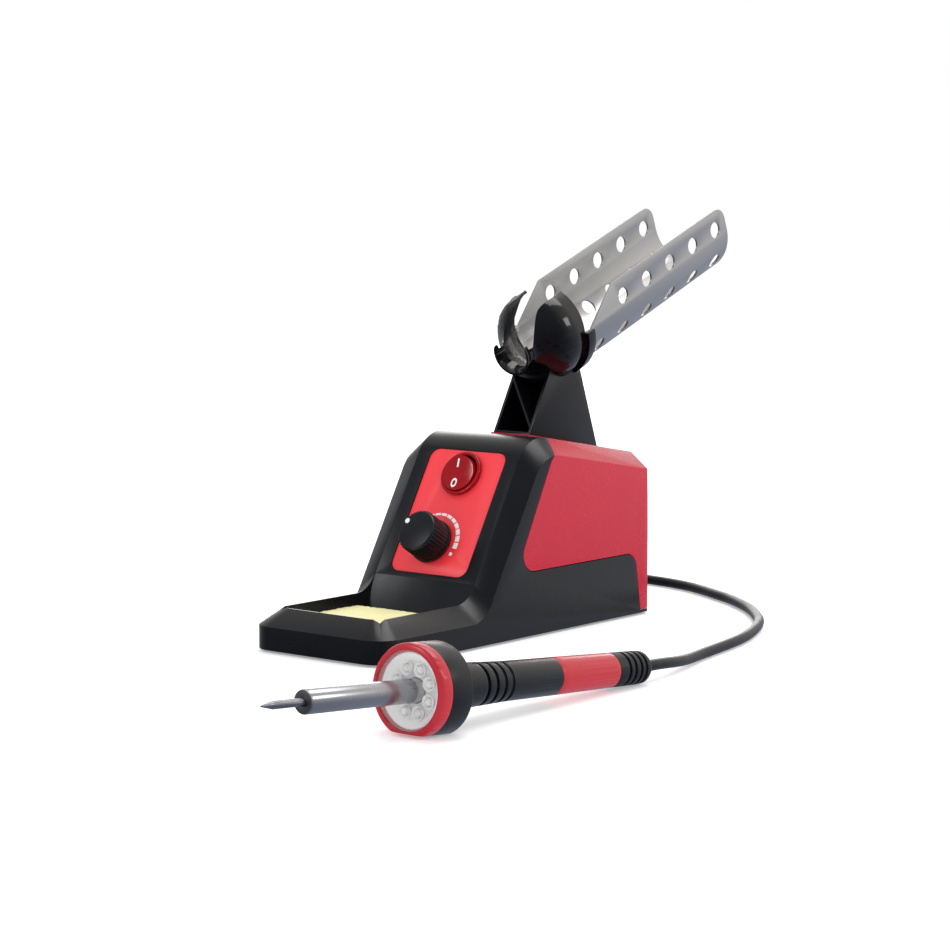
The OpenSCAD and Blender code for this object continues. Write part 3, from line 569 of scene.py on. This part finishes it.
@dataclass
class IronCord(Assembly):
    """The iron's own cord: from the handle, loosely round to the back, a coil, and into the gland.

    Lengths are in millimetres. The coil winds in on its first layer, climbs, and winds out on its
    second: inward, upward and outward are the turns at which each change starts.
    """

    diameter: float = 5.0
    coil_x: float = -60.0
    coil_y: float = 166.0
    inner_r: float = 25.0
    outer_r: float = 30.1
    layer_rise: float = 5.1
    floor_z: float = 2.6
    turns: float = 3.5
    inward: float = 0.72
    upward: float = 1.56
    outward: float = 2.40
    change: float = 0.16
    steps: int = 16
    fineness: int = 5
    settled: int = 10
    route: Tuple[Point, ...] = (
        (148.6, -54.8, 6.8), (148.6, -46, 6.6), (147.8, -36, 5.9), (145.4, -24, 4.6), (141.5, -10, 3.3),
        (137.2, 6, 2.7), (133.6, 25, 2.6), (130, 44, 2.6), (126, 59, 2.6), (120.4, 74, 2.6),
        (114, 88, 2.6), (106, 102, 2.6), (95, 116, 2.6), (82, 130, 2.6), (69, 141, 2.6),
        (56, 150.5, 2.6), (43, 158, 2.6), (29, 166, 2.6), (15, 172.4, 2.6), (0, 176.6, 2.6),
        (-15, 179, 2.6), (-28, 184, 2.6), (-40, 191.4, 2.6), (-52, 195.6, 2.6),
    )
    tail: Tuple[Point, ...] = (
        (-52, 136.2, 7.8), (-44, 136.4, 8), (-36, 135.6, 8.6), (-26, 132.6, 9.6), (-18.4, 126.4, 10.8),
        (-14, 119.9, 11.9), (-14, 115.5, 11.7), (-14, 113, 11.6),
    )

    def ring(self, turn: float) -> Tuple[float, float]:
        """Gives the coil's radius and height at a turn, changing ring before it meets itself.

        Args:
            turn: turns wound so far.

        Returns:
            Radius and height in millimetres.
        """

        def ramp(start: float) -> float:
            """Rises from 0 to 1 over the part of a turn that a change takes."""
            part = min(max((turn - start) / self.change, 0.0), 1.0)
            return part * part * (3 - 2 * part)

        width = self.outer_r - self.inner_r
        radius = self.outer_r - width * ramp(self.inward) + width * ramp(self.outward)
        return radius, self.floor_z + self.layer_rise * ramp(self.upward)

    def points(self) -> List[Point]:
        """Lists the cord's points from the handle to the gland.

        Returns:
            The points in millimetres.
        """
        wound = []
        for step in range(int(self.turns * self.steps) + 1):
            turn = step / self.steps
            radius, height = self.ring(turn)
            angle = math.radians(90 + 360 * turn)
            across, along = radius * math.cos(angle), radius * math.sin(angle)
            wound.append((self.coil_x + across, self.coil_y + along, height))
        return list(self.route) + wound + list(self.tail)

    def path(self) -> List[Vector]:
        """Runs one smooth line through the cord's points.

        Returns:
            Close points on the line, in metres.
        """
        knots = [Vector(place) * MM for place in self.points()]
        knots = [2 * knots[0] - knots[1], *knots, 2 * knots[-1] - knots[-2]]
        line = []
        for a, b, c, d in zip(knots, knots[1:], knots[2:], knots[3:]):
            for step in range(self.fineness):
                t = step / self.fineness
                line.append(
                    b + (c - a) * (t / 2) + (2 * a - 5 * b + 4 * c - d) * (t * t / 2)
                    + (3 * b - a - 3 * c + d) * (t**3 / 2)
                )
        return line + [knots[-2]]

    def build(self) -> None:
        """Makes the cord as one smooth tube."""
        line = self.path()
        data = bpy.data.curves.new("iron_cord_run", "CURVE")
        data.dimensions = "3D"
        data.bevel_depth = self.diameter / 2 * MM
        data.bevel_resolution = 5
        data.use_fill_caps = True
        spline = data.splines.new("POLY")
        spline.points.add(len(line) - 1)
        for knot, place in zip(spline.points, line):
            knot.co = (*place, 1)
        piece = bpy.data.objects.new("iron_cord_run", data)
        bpy.context.scene.collection.objects.link(piece)
        select_only(piece)
        bpy.ops.object.convert(target="MESH")
        piece = named("iron_cord_run")
        smooth(piece, 60)
        PVC.on(piece)
        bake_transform(piece)
        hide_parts("iron_cord", "cord_coil", "cord_tail")
        self.dress(WHITE_NYLON, "coil_tie")


# ---------- base


@dataclass
class Base(Assembly):
    """Housing, cover, tray and the parts inside. Lengths are in millimetres."""

    sponge_edge: float = 0.9
    pore_steps: int = 6
    pore_size: float = 1.6
    pore_depth: float = 0.45

    def build(self) -> None:
        """Builds the shells, the sponge and the inside."""
        self.refine("front_housing", 0.7, BLACK_ABS, "housing_black", angle=24)
        self.refine("rear_cover", 0.6, RED_ABS, "cover_red", angle=24)
        self.refine("bottom_plate", 0.3, BLACK_ABS, "housing_black", 2)
        self.refine("rubber_feet", 0.25, RUBBER, "foot_rubber", 2)
        self.refine("housing_screws", 0.2, ZINC, "screw_steel", 2)
        self.refine("mains_gland", 0.25, RUBBER, "gland_black", 2)
        self.refine("cord_gland", 0.25, RUBBER, "gland_black", 2)
        self.sponge()
        self.inside()

    def sponge(self) -> None:
        """Makes the sponge: a cut block with soft edges and open cells."""
        low, high = (Vector(corner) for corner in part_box("sponge"))
        bpy.ops.mesh.primitive_cube_add(size=1, location=(low + high) / 2)
        piece = named("sponge_block")
        piece.scale = high - low
        settle(piece)
        bevel(piece, self.sponge_edge)
        cells = bpy.data.textures.new("sponge_cells", "VORONOI")
        cells.noise_scale = self.pore_size * MM
        cells.noise_intensity = 1.0
        split = piece.modifiers.new("split", "SUBSURF")
        split.subdivision_type = "SIMPLE"
        split.levels = split.render_levels = self.pore_steps
        pores = piece.modifiers.new("pores", "DISPLACE")
        pores.texture = cells
        pores.texture_coords = "LOCAL"
        pores.mid_level = 1.0
        pores.strength = self.pore_depth * MM
        apply_all(piece)
        smooth(piece, 60)
        self.place(piece, CELLULOSE, "sponge_yellow", "sponge", body="sponge")

    def inside(self) -> None:
        """Dresses the board and what stands on it."""
        self.dress(BOARD, "control_board")
        self.dress(EPOXY, "triac")
        self.dress(ALUMINIUM, "heat_sink")
        self.dress(SLEEVE, "capacitor")
        self.dress(FUSE_GLASS, "fuse")
        self.dress(BLOCK, "terminal_block")


@dataclass
class Controls(Assembly):
    """Panel, temperature knob with its scale, and the rocker switch. Lengths are in millimetres."""

    face_y: float = -30.0
    rim_h: float = 19.8
    face_angle: float = 59.5
    panel_from: float = 12.3
    rocker_up: float = 52.5
    rocker_axis: float = -3.0
    rocker_tilt: float = 7.0
    hollow_r: float = 45.0
    hollow_h: float = 5.6
    ink_lift: float = 0.02
    bar_size: Point = (0.95, 4.2, 0.16)
    bar_at: Tuple[float, float] = (-1.3, 5.0)
    ring_r: float = 1.6
    ring_stroke_r: float = 0.46
    ring_scale: Point = (0.82, 1.2, 0.25)
    ring_at: Tuple[float, float] = (-0.9, -5.0)

    def face(self) -> Matrix:
        """Gives the transform from the control face to the row frame.

        Returns:
            The matrix, in metres.
        """
        return (
            Matrix.Translation((0, self.face_y * MM, self.rim_h * MM))
            @ Matrix.Rotation(math.radians(self.face_angle), 4, "X")
            @ Matrix.Translation((0, self.panel_from * MM, 0))
        )

    def rocker(self) -> Matrix:
        """Gives the transform from the rocker's pivot to the row frame.

        Returns:
            The matrix, in metres.
        """
        return (
            self.face()
            @ Matrix.Translation((0, self.rocker_up * MM, self.rocker_axis * MM))
            @ Matrix.Rotation(math.radians(self.rocker_tilt), 4, "X")
        )

    def on_rocker(self, piece: bpy.types.Object, side: float, up: float) -> None:
        """Lays a mark on the rocker's hollow face.

        Args:
            piece: the mark, made flat at the middle.
            side: its distance to the right of the middle in millimetres.
            up: its distance up the rocker in millimetres.
        """
        settle(piece)
        height = self.hollow_h + self.hollow_r - math.sqrt(self.hollow_r**2 - up**2)
        slope = math.asin(up / self.hollow_r)
        piece.data.transform(
            self.rocker()
            @ Matrix.Translation((side * MM, up * MM, (height + self.ink_lift) * MM))
            @ Matrix.Rotation(slope, 4, "X")
        )

    def legends(self) -> None:
        """Makes the on and off marks in thick white ink."""
        bpy.ops.mesh.primitive_cube_add(size=1, location=(0, 0, 0))
        bar = named("on_mark")
        bar.scale = Vector(self.bar_size) * MM
        settle(bar)
        bevel(bar, 0.05, 2)
        self.on_rocker(bar, *self.bar_at)
        bpy.ops.mesh.primitive_torus_add(
            major_radius=self.ring_r * MM, minor_radius=self.ring_stroke_r * MM,
            major_segments=40, minor_segments=10,
        )
        ring = named("off_mark")
        ring.scale = self.ring_scale
        self.on_rocker(ring, *self.ring_at)
        for piece in (bar, ring):
            smooth(piece)
            self.place(piece, WHITE_INK, "print_white", body="rocker")

    def build(self) -> None:
        """Builds the panel, the knob and the switch."""
        self.refine("front_panel", 0.15, PANEL_FILM, "panel_red", 2)
        self.dress(WHITE_INK, "scale_marks")
        self.refine("knob", 0.22, KNOB_PLASTIC, "knob_black", 2, 28, body="knob")
        self.refine("knob_dot", 0.06, WHITE_INK, "print_white", 2, body="knob")
        self.dress(ZINC, "control_shaft", "control_body", "control_nut", "rocker_pin")
        self.refine("switch_bezel", 0.45, RED_POLYCARBONATE, "switch_red", 4)
        self.dress(BLACK_NYLON, "switch_body")
        self.dress(BRASS, "switch_terminals")
        self.refine("rocker_button", 0.5, RED_POLYCARBONATE, "switch_red", 4, body="rocker")
        self.legends()


@dataclass
class Rest(Assembly):
    """Column, glossy cradle and perforated channel."""

    def build(self) -> None:
        """Builds the rest from the column up."""
        self.refine("column", 0.35, BLACK_ABS, "housing_black", 2)
        self.dress(ZINC, "column_screws", "cradle_screw")
        self.refine("cradle", 0.45, PHENOLIC, "cradle_black", 4, 40)
        self.refine("channel", 0.12, STAINLESS, "channel_steel", 2, 40)
        self.refine("channel_rivets", 0.15, ZINC, "screw_steel", 2)


@dataclass
class Iron(Assembly):
    """The lighted soldering iron that lies on the bench. Lengths are in millimetres."""

    body: str = "iron"
    x: float = 144.4
    y: float = -207.2
    flat_h: float = 17.0
    handle_r: float = 7.4
    head_back: float = 17.5
    rest_at: float = 147.0
    yaw: float = 1.6
    lamp_r: float = 9.2
    lamps: int = 8
    first_lamp: float = 22.5
    cup_at: float = 3.4
    cup_depth: float = 2.3
    cup_mouth_r: float = 2.7
    cup_foot_r: float = 1.65
    cup_wall: float = 0.3

    def matrix(self) -> Matrix:
        """Gives the transform from the iron's axis to the row frame.

        Returns:
            The matrix, in metres.
        """
        tilt = math.atan((self.flat_h - self.handle_r) / (self.rest_at - self.head_back))
        height = self.head_back * math.sin(tilt) + self.flat_h * math.cos(tilt)
        return (
            Matrix.Translation((self.x * MM, self.y * MM, height * MM))
            @ Matrix.Rotation(math.radians(-self.yaw), 4, "Z")
            @ Matrix.Rotation(-tilt, 4, "X")
        )

    def lamp_cups(self) -> None:
        """Makes the white cup round each lamp."""
        bpy.ops.mesh.primitive_cone_add(
            vertices=36, radius1=self.cup_mouth_r * MM, radius2=self.cup_foot_r * MM,
            depth=self.cup_depth * MM, end_fill_type="NOTHING",
        )
        cup = named("lamp_cups")
        wall = cup.modifiers.new("wall", "SOLIDIFY")
        wall.thickness = self.cup_wall * MM
        wall.offset = 1
        apply_all(cup)
        outward(cup)
        bevel(cup, 0.08, 2)
        first = Matrix.Translation((self.lamp_r * MM, self.cup_at * MM, 0))
        cup.data.transform(first @ Matrix.Rotation(-math.pi / 2, 4, "X"))
        angles = [self.first_lamp + 360 * i / self.lamps for i in range(self.lamps)]
        turns = [Matrix.Rotation(math.radians(angle), 4, "Y") for angle in angles]
        cups = [twin(cup, turn) for turn in turns]
        bpy.data.objects.remove(cup)
        piece = joined(cups, "lamp_cups")
        piece.data.transform(self.matrix())
        smooth(piece)
        self.place(piece, WHITE_REFLECTOR, "reflector_silver")

    def build(self) -> None:
        """Builds the iron from its tip to its bush."""
        self.refine("tip", 0.0, PLATED_TIP, "tip_plated")
        self.refine("barrel", 0.12, TUBE_STEEL, "barrel_steel", 2)
        self.refine("barrel_collar", 0.1, STAINED_STEEL, "collar_dark", 2)
        self.dress(ALUMINA, "heater")
        self.refine("lens", 0.3, CLEAR_PC, "lens_clear", 3)
        self.refine("reflector", 0.1, WHITE_REFLECTOR, "reflector_silver", 2)
        self.refine("leds", 0.0, LAMP_EPOXY, "led_clear")
        self.dress(BOARD, "led_board")
        self.refine("bezel_ring", 0.35, HANDLE_RED, "bezel_red", 3)
        self.refine("head_shell", 0.5, GRIP, "head_black", 3)
        self.refine("grip_sleeve", 0.25, GRIP, "grip_black", 3)
        self.refine("handle_core", 0.2, HANDLE_RED, "handle_red", 2)
        self.refine("rear_bush", 0.3, RUBBER, "gland_black", 3)
        self.lamp_cups()


# ---------- studio


@dataclass
class Studio:
    """Camera, lights and a plain pale floor. What a glossy surface mirrors is set by the two skies."""

    eye: Point = (846.3, -1031.7, 224.7)
    tilt: float = 83.616
    turn: float = 39.007
    lens: float = 106.1
    frame_side: int = 950
    floor_glow: float = 0.3
    plain_sky: Colour = (0.8, 0.8, 0.82, 1)
    front_low: Colour = (0.10, 0.11, 0.14, 1)
    front_high: Colour = (0.22, 0.24, 0.29, 1)
    back_low: Colour = (0.42, 0.46, 0.56, 1)
    back_high: Colour = (1.1, 1.06, 1.0, 1)
    boxes: Tuple[Tuple[str, Point, Point, float, float], ...] = (
        ("top_box", (0.1, 0.45, 1.5), (0.05, 0, 0.05), 0.9, 8),
        ("left_box", (-0.9, -1.7, 1.2), (0.05, -0.05, 0.08), 0.4, 5),
        ("right_box", (1.5, 0.5, 0.9), (0.05, -0.05, 0.08), 0.5, 4),
        ("back_box", (-1.2, 1.6, 0.5), (0, 0, 0.1), 1.2, 12),
    )

    def camera(self) -> None:
        """Places the camera."""
        data = bpy.data.cameras.new("camera")
        data.lens = self.lens
        data.sensor_width = 36
        data.clip_start = 0.05
        camera = bpy.data.objects.new("camera", data)
        camera.location = Vector(self.eye) * MM
        camera.rotation_euler = (math.radians(self.tilt), 0, math.radians(self.turn))
        bpy.context.scene.collection.objects.link(camera)
        scene = bpy.context.scene
        scene.camera = camera
        scene.render.resolution_x = scene.render.resolution_y = self.frame_side
        scene.view_settings.view_transform = "Standard"

    def lamp(self, name: str, place: Point, aim: Point, size: float, power: float) -> None:
        """Adds a square soft light.

        Args:
            name: the light's name.
            place: its position in metres.
            aim: the point that it faces, in metres.
            size: its side in metres.
            power: its power in watts.
        """
        data = bpy.data.lights.new(name, "AREA")
        data.size = size
        data.energy = power
        light = bpy.data.objects.new(name, data)
        light.location = place
        light.visible_camera = False
        light.rotation_euler = (Vector(aim) - Vector(place)).to_track_quat("-Z", "Y").to_euler()
        bpy.context.scene.collection.objects.link(light)

    def floor(self) -> None:
        """Lays the pale floor, which glows a little so that it stays white."""
        bpy.ops.mesh.primitive_plane_add(size=12, location=(0, 0, -0.0002))
        sheet = named("floor")
        paper = Finish("matt_white_paper", "#ffffff", rough=0.9, mottle=0.0, relief_mm=0.0)
        paper.on(sheet)
        glow = paper.material().node_tree.nodes["Principled BSDF"].inputs
        glow["Emission Color"].default_value = WHITE
        glow["Emission Strength"].default_value = self.floor_glow
        sheet.visible_glossy = False

    def sky(self) -> None:
        """Sets up the sky: white to the camera, plain to the light, and graded to what is glossy."""
        sky = bpy.data.worlds.new("sky")
        bpy.context.scene.world = sky
        sky.use_nodes = True
        tree = sky.node_tree
        out = tree.nodes["Background"]
        place = add(tree, "NewGeometry").outputs["Position"]
        split = add(tree, "SeparateXYZ", {}, {0: place}).outputs

        def ramp(axis: str, low: float, high: float) -> bpy.types.NodeSocket:
            """Rises from 0 to 1 along an axis."""
            limits = {"Value": split[axis], "From Min": low, "From Max": high, "To Min": 0.0, "To Max": 1.0}
            return add(tree, "MapRange", {}, limits).outputs["Result"]

        def blend(factor: bpy.types.NodeSocket, low: object, high: object) -> bpy.types.NodeSocket:
            """Mixes two colours, each a value or a socket."""
            colours = {"Factor": factor, 6: low, 7: high}
            return add(tree, "Mix", {"data_type": "RGBA"}, colours).outputs[2]

        height, depth = ramp("Z", -0.3, 0.5), ramp("Y", -0.5, 0.8)
        front = blend(height, self.front_low, self.front_high)
        behind = blend(height, self.back_low, self.back_high)
        path = add(tree, "LightPath").outputs
        level = blend(path["Is Glossy Ray"], self.plain_sky, blend(depth, front, behind))
        seen = blend(path["Is Camera Ray"], level, WHITE)
        tree.links.new(seen, out.inputs["Color"])
        sky.cycles.sampling_method = "NONE"

    def build(self) -> None:
        """Sets up the floor, the sky and the lights."""
        self.floor()
        self.sky()
        for box in self.boxes:
            self.lamp(*box)


def main() -> None:
    """Builds the camera, the cord, each sub-assembly, and last the floor and the lights."""
    studio = Studio()
    studio.camera()
    IronCord().build()
    assemblies = [Base(), Controls(), Rest(), Iron()]
    for assembly in assemblies:
        assembly.build()
        log.info("%s: %d pieces", type(assembly).__name__, len(assembly.made))
    studio.build()


if __name__ == "__main__":
    main()
